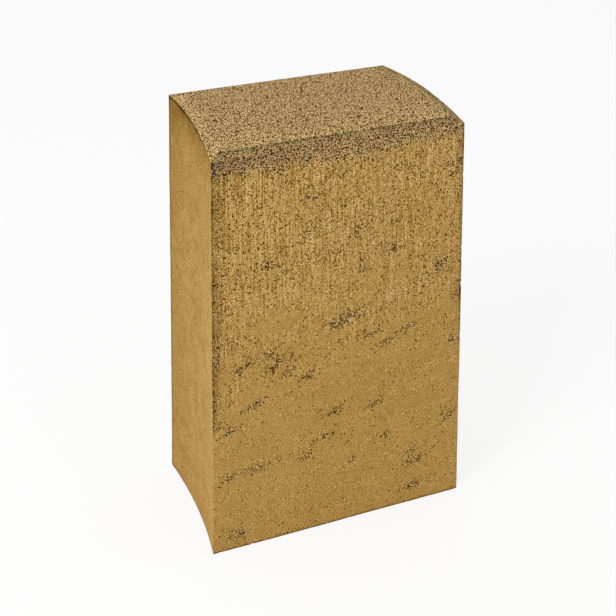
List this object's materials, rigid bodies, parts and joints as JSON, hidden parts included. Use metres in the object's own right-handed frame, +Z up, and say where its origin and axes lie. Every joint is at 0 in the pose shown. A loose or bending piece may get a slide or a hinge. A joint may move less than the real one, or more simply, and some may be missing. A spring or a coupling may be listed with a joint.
{
  "type": "concrete palisade",
  "caption": "Upright cast concrete edging block with a bevelled, crowned top, one hollow side and one swollen side, so that blocks nest in a row.",
  "frame": {"origin": "centre of the base's bounding rectangle, on the base face the block stands on", "axes": "+X along the row towards the swollen side, +Y from the shown front face to the back, +Z up"},
  "size_m": [0.1903, 0.114, 0.2929],
  "materials": {
    "concrete": "matt through-coloured sandy ochre concrete, open-grained on the top and smoother down the faces"
  },
  "bodies": {
    "root": {"palisade_block": "concrete"}
  },
  "joints": []
}
